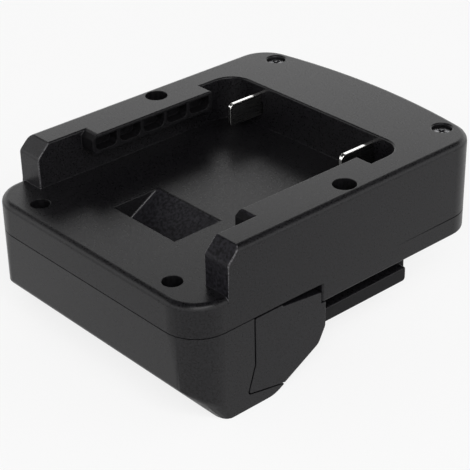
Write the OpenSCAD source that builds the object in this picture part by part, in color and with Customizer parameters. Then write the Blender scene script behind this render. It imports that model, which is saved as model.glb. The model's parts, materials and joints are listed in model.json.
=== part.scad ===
// Slide-on tool battery adapter. A battery slides in between the rails on top, and a tool's foot
// slides on to the rails below, where two squeeze buttons latch it.
// Places along Y are measured from the front face. Heights are measured from the bumper's base.

/* [Body] */
// Overall width across the side walls
body_w = 76; // [75:0.5:84]
// Overall length from the front face to the crown of the far face
body_l = 95; // [93:0.5:104]
// Plan radius of the outer corners
corner_r = 9; // [7:0.5:9.5]
// Plan radius of the bowed far face
far_bow_r = 163; // [140:1:220]
// Thickness of the outer walls
wall = 2.4; // [2:0.1:2.6]
// Thickness of the floors and decks
floor_t = 2.2; // [1.8:0.1:2.4]
// Height of the seam between the two shells
seam_h = 23.2; // [22.8:0.1:24]
// Height of the front deck and the receptacle's floor
deck_h = 31.5; // [31:0.1:33]
// Height of the rails and the far deck
top_h = 42.8; // [42:0.1:46]
// Radius on the outer top edges
edge_r = 1.6; // [0.8:0.1:1.6]

/* [Battery receptacle] */
// Width of the channel between the rails
channel_w = 60.6; // [59:0.1:61]
// Clear width between the lips
lip_gap = 51.3; // [50:0.1:52]
// Where the lips start
lip_start = 25; // [22:0.5:27]
// Distance between the lips and the receptacle's far wall
lip_end_gap = 11.4; // [11:0.1:14]
// Thickness of the lips
lip_t = 5.2; // [4.6:0.1:5.6]
// How far the lips' front ends reach forward below their tops
lip_nose = 1.6; // [1:0.1:1.6]
// Height of the slope down to the lips' front ends
lip_nose_drop = 1.2; // [0.8:0.1:1.2]
// Radius under the lips' front ends
lip_nose_r = 1.5; // [0.8:0.1:1.6]
// Number of cored cells in each lip
cell_count = 5; // [3:1:6]
// Thickness of the ribs between the cells
cell_rib = 1; // [0.8:0.1:1.6]
// Thickness left above and below the cells
cell_skin = 0.9; // [0.7:0.1:1.2]
// Depth of the cells
cell_depth = 3; // [1.5:0.1:3.6]
// Radius of the cells' lower corners
cell_r = 1.5; // [0.8:0.1:1.5]
// Where the rails start
rail_start = 10.4; // [10:0.1:13]
// Chamfer on the rails' front ends
rail_chamfer = 3.4; // [2:0.1:4]
// Radius where that chamfer meets the rails' upright ends
rail_nose_r = 1.5; // [0.8:0.1:2]
// Length of the far deck behind the receptacle
far_deck_l = 22; // [21:0.5:24]
// Plan radius of the receptacle's far corners
pocket_r = 6; // [4:0.5:7]

/* [Latch pocket] */
// Width of the pocket for the battery's latch
latch_w = 22.4; // [18:0.1:24]
// Where the pocket's steep front wall stands
latch_start = 17.8; // [16:0.1:19]
// Length of the pocket
latch_l = 13.6; // [12:0.1:15]
// Depth of the pocket
latch_depth = 6.4; // [5:0.1:6.6]
// Length of the pocket's flat bottom
latch_flat = 2.6; // [2:0.1:4]
// Thickness of the pocket's walls
latch_wall = 1.6; // [1.2:0.1:1.8]

/* [Bumper] */
// Length of the bumper
bumper_l = 39.8; // [39:0.1:41]
// Lean of the front face below the seam
front_lean = 0.5; // [0.2:0.1:1]
// Height where the front face turns under
chin_h = 9; // [8:0.1:10]
// Where the flat base starts
base_start = 8.4; // [7:0.1:9]
// Where the flat base ends and the rear slope starts
base_end = 23.5; // [22:0.1:24]
// Where the rear slope ends
slope_end = 37.6; // [37:0.1:38.5]
// Height where the rear slope ends
slope_h = 7.4; // [7:0.1:8]
// Height where the rear face stands upright
rear_h = 11.5; // [11:0.1:12]
// Radius where the front face turns under
chin_r = 2; // [1:0.1:2.5]
// Plan radius where the chin meets the sides, at its top
chin_top_r = 6; // [4:0.1:6.4]
// Plan radius where the chin meets the sides, at the base
chin_low_r = 2.8; // [1.5:0.1:3.2]
// Radius at the flat base's front end
base_front_r = 3; // [2:0.1:4]
// Radius at the flat base's rear end
base_rear_r = 8; // [5:0.5:9]
// Radius where the rear slope ends
slope_r = 3; // [2:0.1:3.2]
// Radius where the rear face stands upright
rear_r = 2; // [1.2:0.1:2.2]

/* [Tool slide] */
// Height of the base plate's underside
plate_low_h = 18.2; // [18:0.1:18.6]
// Where the slide ends
slide_end = 70; // [68:0.5:74]
// Height of the slide's underside
slide_low_h = 9.6; // [9:0.1:9.8]
// Thickness of the slide's lips
slide_lip_t = 3.8; // [3.4:0.1:3.9]
// Width across the slide's lips
slide_w = 70; // [68:0.5:72]
// Width across the neck above the lips
neck_w = 62; // [61:0.5:63]
// How far the neck reaches past the lips' far ends
neck_past = 3.5; // [2:0.1:4]
// Radius on the lips' far ends
slide_r = 1; // [0.6:0.1:2]
// Width of the contact slots
slot_w = 2.4; // [2:0.1:2.8]
// Length of the contact slots
slot_l = 16; // [14:0.5:18]
// Gap between the power clips and the board's posts
clip_post_gap = 0.7; // [0.4:0.1:1.2]
// Distance of the signal slots from the middle
signal_slot_x = 5; // [4:0.5:6]

/* [Release buttons] */
// Where the pad starts
pad_start = 18; // [17.5:0.1:18.5]
// How far the pad's toe reaches forward
pad_toe = 2.2; // [1:0.1:2.4]
// Height where the toe starts
pad_kink_h = 10.9; // [9:0.1:12]
// Height of the toe's lower corner
pad_low_h = 4; // [3.6:0.1:4.6]
// Where the pad's lower edge meets the rear slope
pad_heel = 27; // [26:0.1:28]
// Where the pad's upper part ends
pad_shoulder = 38.2; // [37.8:0.1:38.4]
// Drop of the pad's upper edge below the seam at its rear
pad_drop = 2.2; // [1.6:0.1:2.6]
// Part of the pad's upper edge that runs level
pad_level = 0.4; // [0.3:0.05:0.6]
// Step at the end of that part
pad_step = 0.45; // [0.2:0.05:0.5]
// Radius of the pad's corners
pad_r = 0.5; // [0.4:0.1:0.8]
// Thickness of the pad
pad_t = 5.2; // [4.8:0.1:5.6]
// Gap round the pad
pad_gap = 0.35; // [0.25:0.05:0.45]
// Gap between the pad's shoulder and tail and the shells behind and above them
shoulder_gap = 0.15; // [0.1:0.05:0.25]
// Thickness of the pad's skirt, which covers the gap behind the pad on the rear slope
skirt_t = 1.4; // [1.2:0.1:1.6]
// How far the skirt overlaps the shell
skirt_lap = 1.2; // [1:0.1:1.6]
// Travel of the button
press_travel = 3; // [2.6:0.1:3.2]
// Diameter of the guide stem
stem_d = 5; // [4.4:0.1:5.4]
// Place of the guide stem along the pad
stem_y = 25.5; // [24.5:0.1:26]
// Height of the guide stem
stem_h = 12; // [11:0.1:12.4]
// How far the guide stem reaches past the recess's inner wall
stem_past = 1; // [0.6:0.1:1.4]
// Radial clearance of the guide stem
stem_clear = 0.08; // [0.05:0.01:0.1]
// Place of the link between pad and latch arm
link_y = 31; // [30.8:0.1:32]
// Length of the link
link_l = 5; // [4:0.1:5.6]
// Height of the latch arm's underside
arm_h = 14; // [13.9:0.1:14.2]
// Depth of the latch arm
arm_d = 3.4; // [3:0.1:3.5]
// Thickness of the latch arm
arm_t = 2.2; // [1.8:0.1:2.4]
// Where the latch tooth starts
tooth_start = 45; // [44:0.1:47]
// Length of the latch tooth
tooth_l = 7; // [6:0.1:8]
// Length of the latch tooth's flat tip
tooth_flat = 1.8; // [1.2:0.1:2.4]
// How far the tooth stands out of the neck
tooth_out = 2.4; // [2:0.1:2.6]
// Working clearance of the latch arm
arm_clear = 0.35; // [0.3:0.05:0.4]

/* [Return springs] */
// Mean diameter of the coil
spring_d = 6.7; // [6.5:0.1:6.9]
// Diameter of the spring wire
spring_wire = 0.7; // [0.5:0.05:0.8]
// Number of turns
spring_turns = 5; // [4:1:5]
// Skin left in the pad behind the spring
spring_skin = 1.3; // [1:0.1:1.6]
// Clearance round the coil in the pad
spring_clear = 0.4; // [0.3:0.05:0.6]

/* [Battery blades] */
// Distance of the blades from the middle
blade_x = 19.8; // [18:0.1:21]
// Thickness of the blades
blade_t = 1; // [0.8:0.1:1.2]
// Length of the blades in the receptacle
blade_l = 10.8; // [9:0.1:12]
// How far the blades end below the rails' tops
blade_drop = 2.1; // [1.5:0.1:3]
// Height of the blades' lower edge, as a part of the rails' height
blade_low_part = 0.28; // [0.2:0.01:0.3]
// Radius of the blades' upper front corners
blade_r = 1.4; // [0.8:0.1:2]
// Radius of the blades' lower front corners
blade_toe_r = 1; // [0.5:0.1:1.5]
// Height of the tail's lower edge, as a part of the rails' height
tail_low_part = 0.32; // [0.3:0.01:0.36]
// Height of the tail's upper edge, as a part of the rails' height
tail_top_part = 0.56; // [0.5:0.01:0.58]
// Clearance of the blades in their slots
blade_clear = 0.05; // [0.03:0.01:0.1]
// Length of the insulating block
block_l = 6; // [5:0.1:6.4]
// Margin of the block beside the blades
block_margin = 4; // [3.5:0.1:4.2]
// Thickness of the block's ears
ear_t = 3; // [2.5:0.1:3.2]
// Gap between the block and the far deck
block_gap = 0.4; // [0.3:0.1:1]
// How far the block reaches below the receptacle's floor
block_drop = 1.4; // [1:0.1:1.6]
// Gap between the block's sides and the bosses over its ears
ear_gap = 0.4; // [0.3:0.1:0.6]
// Gap between the block and the blades' legs
leg_gap = 0.4; // [0.3:0.1:0.6]
// Length of the blades' legs, where the leads start
leg_l = 3; // [3:0.1:3.4]
// How far the legs reach below the receptacle's floor
leg_drop = 2.5; // [2:0.1:3]

/* [Tool contacts and board] */
// Thickness of the contact strip
strip_t = 0.6; // [0.5:0.05:0.7]
// Gap between the clip's lips
clip_gap = 0.6; // [0.5:0.05:0.7]
// Width of the clip at its root
clip_w = 3.6; // [3.2:0.1:4]
// Length of the clip
clip_l = 15; // [13:0.5:16]
// Where the clip's leaves start to close
clip_root_l = 5.2; // [4:0.1:6]
// Where the clip's leaves are closest
clip_mouth_l = 12; // [10:0.1:12]
// Half width of the clip's flared mouth
clip_flare = 1; // [0.8:0.05:1.2]
// Clearance between the clip and the slide's end wall
clip_clear = 0.4; // [0.3:0.1:0.6]
// Width of the board
board_w = 44; // [43:0.5:45]
// Length of the board
board_l = 24; // [22:0.5:24.5]
// Thickness of the board
board_t = 1.6; // [1.2:0.1:1.8]
// Height of the board's underside
board_h = 19.4; // [19.2:0.1:19.6]
// Gap between the board and the slide's end wall
board_gap = 0.5; // [0.3:0.1:0.8]
// Inset of the board's screws
board_screw_inset = 3.2; // [3:0.1:3.4]
// Diameter of the leads
lead_d = 2.8; // [2.4:0.1:3]
// Height of the leads' level run
lead_h = 24.2; // [24:0.1:24.6]
// Bend radius of the leads at the blades
lead_bend = 3.4; // [3:0.1:3.6]
// Gap between the parts on the board
part_gap = 4; // [3.4:0.1:4.2]
// Width of a power package
package_w = 9; // [8:0.1:9.4]
// Length of a power package's body
package_l = 7; // [6:0.1:7.4]
// Height of a power package's body
package_h = 2.3; // [2:0.1:3]
// Width of a power package's tab
tab_w = 7; // [5:0.1:7.6]
// Length of a power package's tab
tab_l = 2.4; // [2:0.1:2.6]
// Thickness of a power package's tab
tab_t = 0.8; // [0.6:0.1:1]
// Width of the control chip
chip_w = 5; // [4:0.1:6]
// Length of the control chip
chip_l = 4; // [3:0.1:5]
// Height of the control chip
chip_h = 1.4; // [1:0.1:1.8]
// Diameter of the capacitor
can_d = 5; // [4:0.1:5.4]
// Height of the capacitor
can_h = 5.4; // [4.4:0.1:5.8]
// Height of the capacitor's foot
can_foot_h = 0.8; // [0.6:0.1:1.2]

/* [Fasteners] */
// Inset of the front screws from the front face
front_screw_y = 6.1; // [6:0.1:6.6]
// Distance of the front screws from the middle
front_screw_x = 24.4; // [23:0.1:26]
// Inset of the far screws from the far face's crown
far_screw_inset = 7.6; // [7.4:0.1:8.4]
// Distance of the far screws from the middle
far_screw_x = 29.2; // [28:0.1:29.6]
// Place of the rail screws
rail_screw_y = 49.7; // [46:0.1:54]
// Inset of the rail screws from the side faces
rail_screw_inset = 4.6; // [4.6:0.1:4.8]
// Diameter of the corner counterbores
corner_bore_d = 4.8; // [4.6:0.1:5]
// Depth of the front counterbores
front_bore_depth = 5; // [4:0.1:5.4]
// Depth of the far counterbores
far_bore_depth = 2.5; // [2.3:0.1:3.2]
// Diameter of the rail counterbores
rail_bore_d = 5.7; // [5.4:0.1:5.8]
// Depth of the rail counterbores
rail_bore_depth = 6; // [5:0.1:7]
// Shank diameter of the corner and board screws
small_shank_d = 2.2; // [2:0.1:2.4]
// Shank diameter of the rail screws
rail_shank_d = 2.6; // [2.4:0.1:2.8]
// Length of the corner screws under the head
corner_screw_l = 10; // [8:0.5:12]
// How far the rail screws reach into their posts
rail_screw_bite = 6.5; // [5:0.1:7]
// Length of the board screws under the head
small_screw_l = 5.5; // [4.5:0.1:6]
// Distance between the block screws' tips and the far deck
block_screw_gap = 2; // [1.6:0.1:3]
// Depth of a pilot hole past its screw's tip
pilot_past = 1; // [0.6:0.1:1.4]
// Height of the screw heads
head_h = 1.6; // [1.4:0.1:1.8]
// Radial clearance of a screw's head in its counterbore
head_clear = 0.2; // [0.15:0.05:0.3]
// Diameter of the board and block screws' heads
small_head_d = 4; // [3.8:0.1:4.2]
// Radial clearance of a screw's shank
shank_clear = 0.05; // [0.03:0.01:0.1]
// Thickness of the seat under a screw head
seat_t = 1.6; // [1.4:0.1:1.8]
// Wall of the screw bosses
boss_wall = 1.2; // [1:0.1:1.3]
// Clearance between the lower shell's posts and the upper shell
post_clear = 0.15; // [0.1:0.05:0.25]
// Part of a head's width that its cross recess spans
cross_part = 0.66; // [0.5:0.02:0.7]
// Width of the cross recess in the heads
cross_w = 0.6; // [0.5:0.05:0.7]
// Depth of the cross recess in the heads
cross_depth = 0.9; // [0.7:0.1:1]

/* [Hidden] */

// How far a cutter runs past the face that it opens
over = 1;
// Steps of a rounded corner, of the bowed face and of a round edge
corner_steps = 10;
bow_steps = 12;
edge_steps = 4;
// Thickness of the slices that a round edge is drawn over
slice_t = 0.01;
// Slices over the chin's height, steps of their corners, and how far they stay clear of the flat faces
chin_slices = 6;
chin_steps = 5;
chin_past = 0.05;
// Rings in a turn of the springs, and sides of their wire
turn_rings = 16;
wire_sides = 6;

// Plan outline of the body
corner_x = body_w / 2 - corner_r;
bow_y = body_l - far_bow_r;
far_corner_y = bow_y + sqrt(pow(far_bow_r - corner_r, 2) - pow(corner_x, 2));
far_angle = atan2(far_corner_y - bow_y, corner_x);

// Places along the receptacle
pocket_end = body_l - far_deck_l;
lip_l = pocket_end - lip_end_gap - lip_start;
rail_h = top_h - deck_h;

// Places of the case screws
far_screw_y = body_l - far_screw_inset;
rail_screw_x = body_w / 2 - rail_screw_inset;
boss_r = small_shank_d / 2 + boss_wall;
rail_boss_r = rail_shank_d / 2 + boss_wall;
corner_head_d = corner_bore_d - 2 * head_clear;
rail_head_d = rail_bore_d - 2 * head_clear;
front_seat_h = deck_h - front_bore_depth;
far_seat_h = top_h - far_bore_depth;
rail_seat_h = top_h - rail_bore_depth;
ceiling_h = deck_h - floor_t;
rail_screw_l = rail_seat_h - ceiling_h + rail_screw_bite;

// The lower shell's case posts: place, radius and top
case_posts = [[front_screw_x, front_screw_y, boss_r, front_seat_h - seat_t],
    [far_screw_x, far_screw_y, boss_r, far_seat_h - seat_t],
    [rail_screw_x, rail_screw_y, rail_boss_r, ceiling_h]];

// Side outline of the release pad, from its toe round by its heel
slope_rise = slope_h / (slope_end - base_end);
pad_heel_h = (pad_heel - base_end) * slope_rise;
pad_tail_h = plate_low_h - shoulder_gap;
pad_top_h = seam_h - pad_gap;
pad_step_y = pad_start + (pad_shoulder - pad_start) * pad_level;
apron_y = pad_shoulder + pad_gap;
function pad_outline(shoulder) = [[pad_start - pad_toe, pad_low_h], [pad_heel, pad_heel_h],
    [slope_end, slope_h], [bumper_l, rear_h], [bumper_l, pad_tail_h], [shoulder, pad_tail_h],
    [shoulder, seam_h - pad_drop], [pad_step_y + pad_step, pad_top_h - pad_step], [pad_step_y, pad_top_h],
    [pad_start, pad_top_h], [pad_start, pad_kink_h]];
pad_radii = [pad_r, 0, slope_r, rear_r, 0, 0, pad_r, 0, 0, pad_r, 0];

// Radii of the lower shell's side outline
lower_radii = [0, chin_r, base_front_r, base_rear_r, slope_r, rear_r, 0, 0, 0];

// Line of the skirt on the rear slope, up to the slide's underside
skirt_tip_h = slide_low_h - pad_gap;
skirt_tip_y = slope_end + (bumper_l - slope_end) * (skirt_tip_h - slope_h) / (rear_h - slope_h);
skirt_line = [[pad_heel, pad_heel_h], [slope_end, slope_h], [skirt_tip_y, skirt_tip_h]];

// Places across the release buttons
pad_x = body_w / 2 - pad_t;
recess_x = pad_x - press_travel - pad_gap;
skirt_x = recess_x - skirt_lap;
bumper_wall = wall + skirt_t + pad_gap;
recess_wall_x = recess_x - wall;
neck_inner_x = neck_w / 2 - wall;
arm_x = neck_inner_x - arm_clear - arm_t;
stem_end_x = recess_wall_x - stem_past;
spring_seat_x = body_w / 2 - spring_skin;

// Places of the blades, their block and its screws
blade_wall_y = pocket_end + wall;
block_y = blade_wall_y;
blade_front = pocket_end - blade_l;
blade_low_h = deck_h + blade_low_part * rail_h;
blade_top_h = top_h - blade_drop;
tail_low_h = deck_h + tail_low_part * rail_h;
tail_top_h = deck_h + tail_top_part * rail_h;
leg_y = block_y + block_l + leg_gap;
block_half_w = blade_x + block_margin;
block_low_h = deck_h - block_drop;
block_top_h = top_h - floor_t - block_gap;
ear_x = block_half_w + ear_gap + boss_r;
ear_y = block_y + block_l / 2;
ear_top_h = block_low_h + ear_t;
block_screw_l = top_h - floor_t - block_screw_gap - block_low_h;

// Places of the board and what stands on it
slide_floor_h = slide_low_h + floor_t;
neck_end = slide_end + neck_past;
slide_end_wall_y = neck_end - wall;
board_y = slide_end_wall_y - board_gap - board_l;
board_top_h = board_h + board_t;
board_screw_x = board_w / 2 - board_screw_inset;
board_screw_y = board_y + board_screw_inset;
power_slot_x = board_screw_x - boss_r - clip_post_gap - clip_w / 2;
clip_y = slide_end_wall_y - clip_clear - clip_l;
clip_low_h = slide_floor_h + clip_clear;
lead_y = leg_y + leg_l / 2;
lead_drop = lead_h - board_top_h;
lead_end_y = board_y + board_l - lead_d;

// Points on an arc, with angles counted from X
function arc(centre, r, from, to, steps) =
    [for (i = [0 : steps]) let (a = from + (to - from) * i / steps) centre + r * [cos(a), sin(a)]];
function inner_points(points) = [for (i = [1 : len(points) - 2]) points[i]];
function unit(v) = v / norm(v);

// A corner turned into an arc
function corner_arc(before, at, after, r, steps) =
    let (u = unit(before - at), v = unit(after - at), half = acos(u * v) / 2,
        centre = at + unit(u + v) * r / sin(half),
        start = at + u * r / tan(half) - centre,
        finish = at + v * r / tan(half) - centre,
        turn = atan2(cross(start, finish), start * finish))
    [for (i = [0 : steps]) let (a = turn * i / steps)
        centre + [start.x * cos(a) - start.y * sin(a), start.x * sin(a) + start.y * cos(a)]];
function rounded(points, radii, steps = 6) =
    let (n = len(points))
    [for (i = [0 : n - 1]) each radii[i] > 0
        ? corner_arc(points[(i + n - 1) % n], points[i], points[(i + 1) % n], radii[i], steps)
        : [points[i]]];

// A counter-clockwise outline grown by a margin
function outward(a, b) = let (e = unit(b - a)) [e.y, -e.x];
function grown(points, margin) =
    let (n = len(points))
    [for (i = [0 : n - 1])
        let (n1 = outward(points[(i + n - 1) % n], points[i]), n2 = outward(points[i], points[(i + 1) % n]))
        points[i] + (n1 + n2) * margin / (1 + n1 * n2)];
// A band along a bent line of three points, from one offset to another, lengthened at its ends
function band(line, from, to, longer) =
    let (u = unit(line[1] - line[0]), v = unit(line[2] - line[1]),
        n1 = [u.y, -u.x], n2 = [v.y, -v.x], miter = (n1 + n2) / (1 + n1 * n2),
        start = line[0] - u * longer, finish = line[2] + v * longer)
    [start + n1 * to, line[1] + miter * to, finish + n2 * to,
        finish + n2 * from, line[1] + miter * from, start + n1 * from];
function grown_radii(radii, margin) = [for (r = radii) r > 0 ? max(r + margin, 0) : 0];

// The body's plan outline, drawn in from its walls by an inset
function body_outline(inset) = concat(
    arc([-corner_x, corner_r], corner_r - inset, 180, 270, corner_steps),
    arc([corner_x, corner_r], corner_r - inset, 270, 360, corner_steps),
    arc([corner_x, far_corner_y], corner_r - inset, 0, far_angle, corner_steps),
    inner_points(arc([0, bow_y], far_bow_r - inset, far_angle, 180 - far_angle, bow_steps)),
    arc([-corner_x, far_corner_y], corner_r - inset, 180 - far_angle, 180, corner_steps));

// Side outline of the lower shell with its upper edge at a chosen height, grown by a margin
function lower_corners(upper_h) = [[0, upper_h], [front_lean, chin_h], [base_start, 0],
    [base_end, 0], [slope_end, slope_h], [bumper_l, rear_h], [bumper_l, plate_low_h],
    [body_l + over, plate_low_h], [body_l + over, upper_h]];
function lower_outline(upper_h, margin = 0) =
    rounded(grown(lower_corners(upper_h), margin), grown_radii(lower_radii, margin));

// One side of a level cut through the chin: a front line at a place along Y that turns by a radius
// into the body's corner, or straight into its side where the corner has already turned
function chin_side(front, r) =
    let (past_r = corner_r + chin_past, rise = front + r - corner_r,
        x = corner_x + (rise < 0 ? sqrt(pow(past_r - r, 2) - pow(rise, 2)) : past_r - r),
        turned = rise < 0 ? atan2(rise, x - corner_x) : 0)
    concat(arc([x, front + r], r, -90, turned, chin_steps),
        rise < 0 ? arc([corner_x, corner_r], past_r, turned, 0, chin_steps) : [],
        [[corner_x + past_r, body_l + over], [0, body_l + over], [0, front]]);

module from_front() {
    translate([0, -body_l / 2, 0]) children();
}

module both_sides() {
    children();
    mirror([1, 0, 0]) children();
}

// Extrudes an outline drawn in Y and Z from one X to another
module along_x(from, to) {
    translate([from, 0, 0]) rotate([90, 0, 90]) linear_extrude(to - from) children();
}

module upright(from, to) {
    translate([0, 0, from]) linear_extrude(to - from) children();
}

module box(low, high) {
    translate(low) cube(high - low);
}

module post(x, y, r, from, to) {
    translate([x, y, from]) cylinder(r = r, h = to - from, $fn = 48);
}

module body_slab(from, to, inset = 0) {
    upright(from, to) polygon(body_outline(inset));
}

// A pan-head screw that points down, with the underside of its head at the origin
module screw(head_d, shank_d, length) {
    difference() {
        union() {
            cylinder(d = head_d, h = head_h, $fn = 48);
            translate([0, 0, -length]) cylinder(d = shank_d, h = length, $fn = 48);
        }
        for (turn = [0, 90])
            rotate(turn) translate([-head_d * cross_part / 2, -cross_w / 2, head_h - cross_depth])
                cube([head_d * cross_part, cross_w, head_h]);
    }
}

module case_screw_hole(x, y, bore_d, shank_d, seat_h, from, to) {
    post(x, y, bore_d / 2, seat_h, to);
    post(x, y, shank_d / 2 + shank_clear, from, seat_h + over);
}

// A slab of the body's outline with a round upper edge
module rounded_slab(from, to) {
    hull() {
        body_slab(from, to - edge_r);
        for (i = [1 : edge_steps]) let (a = 90 * i / edge_steps, h = to - edge_r + edge_r * sin(a))
            body_slab(h - slice_t, h, edge_r * (1 - cos(a)));
    }
}

// The outer form of the upper shell: front deck, rails and far deck round the channel
module receptacle_form() {
    half = channel_w / 2;
    difference() {
        union() {
            rounded_slab(seam_h, deck_h);
            intersection() {
                rounded_slab(seam_h, top_h);
                along_x(-body_w, body_w)
                    polygon(rounded([[rail_start, seam_h - over], [body_l + over, seam_h - over],
                        [body_l + over, top_h + over], [rail_start + rail_chamfer + over, top_h + over],
                        [rail_start, top_h - rail_chamfer]], [0, 0, 0, 0, rail_nose_r]));
            }
        }
        upright(deck_h, top_h + over) polygon(rounded([[-half, -over], [half, -over],
            [half, pocket_end], [-half, pocket_end]], [0, 0, pocket_r, pocket_r]));
    }
}

// The side and far walls behind the pads, which hang from the upper shell round the base plate's edge
module apron(low, inset) {
    intersection() {
        difference() {
            body_slab(low, seam_h + over);
            body_slab(low - over, seam_h + 2 * over, inset);
        }
        box([-body_w, apron_y, 0], [body_w, body_l + over, top_h]);
    }
}

// A rail's inward lip, cored from its inner face by a row of round-bottomed cells
module lip() {
    pitch = (lip_l + lip_nose - cell_rib) / cell_count;
    low = top_h - lip_t;
    nose = lip_start - lip_nose;
    finish = lip_start + lip_l;
    difference() {
        along_x(lip_gap / 2, channel_w / 2 + over) polygon(rounded([[nose, low], [finish, low],
            [finish, top_h], [lip_start, top_h], [nose, top_h - lip_nose_drop]], [lip_nose_r, 0, 0, 0, 0]));
        for (i = [0 : cell_count - 1])
            translate([0, nose + cell_rib + i * pitch, low + cell_skin])
                along_x(lip_gap / 2 - over, lip_gap / 2 + cell_depth)
                    polygon(rounded([[0, 0], [pitch - cell_rib, 0],
                        [pitch - cell_rib, lip_t - 2 * cell_skin], [0, lip_t - 2 * cell_skin]],
                        [cell_r, cell_r, 0, 0]));
    }
}

module latch_tub() {
    half = latch_w / 2 + latch_wall;
    box([-half, latch_start - latch_wall, deck_h - latch_depth - latch_wall],
        [half, latch_start + latch_l + latch_wall, ceiling_h + over]);
}

module latch_pocket() {
    along_x(-latch_w / 2, latch_w / 2) polygon([[latch_start, deck_h + over],
        [latch_start, deck_h - latch_depth], [latch_start + latch_flat, deck_h - latch_depth],
        [latch_start + latch_l, deck_h], [latch_start + latch_l, deck_h + over]]);
}

module upper_cavity() {
    body_slab(seam_h - over, ceiling_h, wall);
    intersection() {
        body_slab(seam_h - over, top_h - floor_t, wall);
        box([-body_w, blade_wall_y, 0], [body_w, body_l, top_h]);
    }
    for (p = case_posts) both_sides() post(p[0], p[1], p[2] + post_clear, plate_low_h - over, p[3]);
}

module upper_bosses() {
    head_boss_r = corner_bore_d / 2 + boss_wall;
    both_sides() {
        post(front_screw_x, front_screw_y, head_boss_r, front_seat_h - seat_t, ceiling_h + over);
        post(far_screw_x, far_screw_y, head_boss_r, far_seat_h - seat_t, top_h - floor_t + over);
        post(ear_x, ear_y, boss_r, ear_top_h, top_h - floor_t + over);
    }
}

// Ribs that reach down and close the buttons' ways from above
module keeper_ribs() {
    gap = stem_clear;
    both_sides() {
        box([recess_wall_x + gap, stem_y - stem_d / 2 + gap, stem_h + stem_d / 2 + arm_clear],
            [recess_x - gap, stem_y + stem_d / 2 - gap, ceiling_h + over]);
        box([recess_wall_x + gap, link_y, arm_h + arm_d + arm_clear],
            [recess_x - gap, link_y + link_l, ceiling_h + over]);
    }
}

module top_housing() {
    color("#2b2b2e") from_front() difference() {
        union() {
            difference() {
                union() {
                    receptacle_form();
                    apron(plate_low_h, wall);
                }
                upper_cavity();
            }
            both_sides() lip();
            latch_tub();
            upper_bosses();
            keeper_ribs();
        }
        latch_pocket();
        both_sides() {
            case_screw_hole(front_screw_x, front_screw_y, corner_bore_d, small_shank_d,
                front_seat_h, seam_h - over, deck_h + over);
            case_screw_hole(far_screw_x, far_screw_y, corner_bore_d, small_shank_d,
                far_seat_h, seam_h - over, top_h + over);
            case_screw_hole(rail_screw_x, rail_screw_y, rail_bore_d, rail_shank_d,
                rail_seat_h, seam_h - over, top_h + over);
            post(ear_x, ear_y, small_shank_d / 2 + shank_clear, ear_top_h - over,
                block_low_h + block_screw_l + pilot_past);
            blade_slot();
        }
    }
}

// The slot in the far wall that a blade's tail passes
module blade_slot() {
    half = blade_t / 2 + blade_clear;
    box([blade_x - half, pocket_end - over, tail_low_h - blade_clear],
        [blade_x + half, blade_wall_y + over, tail_top_h + blade_clear]);
}

// The form that rounds the chin off at the body's front corners
module chin_round() {
    hull() both_sides() {
        for (i = [0 : chin_slices]) let (part = i / chin_slices, h = chin_h * (1 - part),
            front = front_lean + (base_start - front_lean) * part - chin_past,
            r = chin_top_r + (chin_low_r - chin_top_r) * part)
            upright(h, h + slice_t) polygon(chin_side(front, r));
        upright(seam_h, seam_h + over) polygon(chin_side(-chin_past, corner_r + chin_past));
    }
}

// The lower shell's outer form: bumper, base plate and tool slide
module lower_form() {
    intersection() {
        body_slab(0, seam_h);
        along_x(-body_w, body_w) polygon(lower_outline(seam_h));
        chin_round();
    }
    slide_from = bumper_l - wall;
    along_x(-slide_w / 2, slide_w / 2) polygon(rounded([[slide_from, slide_low_h],
        [slide_end, slide_low_h], [slide_end, slide_low_h + slide_lip_t],
        [slide_from, slide_low_h + slide_lip_t]], [0, slide_r, 0, 0]));
    along_x(-neck_w / 2, neck_w / 2) polygon(rounded([[slide_from, slide_low_h],
        [neck_end, slide_low_h], [neck_end, plate_low_h + over], [slide_from, plate_low_h + over]],
        [0, slide_r, 0, 0]));
}

module lower_cavity() {
    body_slab(plate_low_h + floor_t, seam_h + over, wall);
    intersection() {
        body_slab(0, seam_h, wall);
        along_x(-body_w, body_w) polygon(lower_outline(seam_h + 2 * bumper_wall, -bumper_wall));
    }
    box([-neck_inner_x, bumper_l - 2 * wall, slide_floor_h],
        [neck_inner_x, slide_end_wall_y, seam_h + over]);
}

// The pocket that a button's pad moves in, open at the seam, the rear and the slope
module button_recess(margin, floor_x) {
    along_x(floor_x, body_w / 2 + over) union() {
        polygon(rounded(grown(pad_outline(pad_shoulder), margin), grown_radii(pad_radii, margin)));
        translate([pad_start - margin, pad_kink_h])
            square([pad_shoulder - pad_start + 2 * margin, seam_h + over - pad_kink_h]);
    }
}

// The step in the rear slope that a pad's skirt slides under
module skirt_step() {
    along_x(skirt_x - press_travel - pad_gap, recess_x + over)
        polygon(band(skirt_line, -skirt_t - pad_gap, over, pad_gap));
}

// Openings through a recess's inner wall for the stem, the link and the latch arm
module button_ways() {
    stem_r = stem_d / 2 + stem_clear;
    translate([recess_wall_x - over, stem_y, stem_h]) rotate([0, 90, 0])
        cylinder(r = stem_r, h = wall + 2 * over, $fn = 48);
    box([recess_wall_x - over, stem_y - stem_r, stem_h], [recess_x + over, stem_y + stem_r, seam_h + over]);
    box([arm_x - press_travel - arm_clear, link_y - arm_clear, arm_h - arm_clear],
        [recess_x + over, link_y + link_l + arm_clear, seam_h + over]);
    box([arm_x - press_travel - arm_clear, link_y - arm_clear, arm_h - arm_clear],
        [neck_inner_x, tooth_start + tooth_l + arm_clear, arm_h + arm_d + arm_clear]);
    box([neck_inner_x - over, tooth_start - arm_clear, arm_h - arm_clear],
        [neck_w / 2 + over, tooth_start + tooth_l + arm_clear, arm_h + arm_d + arm_clear]);
}

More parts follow.
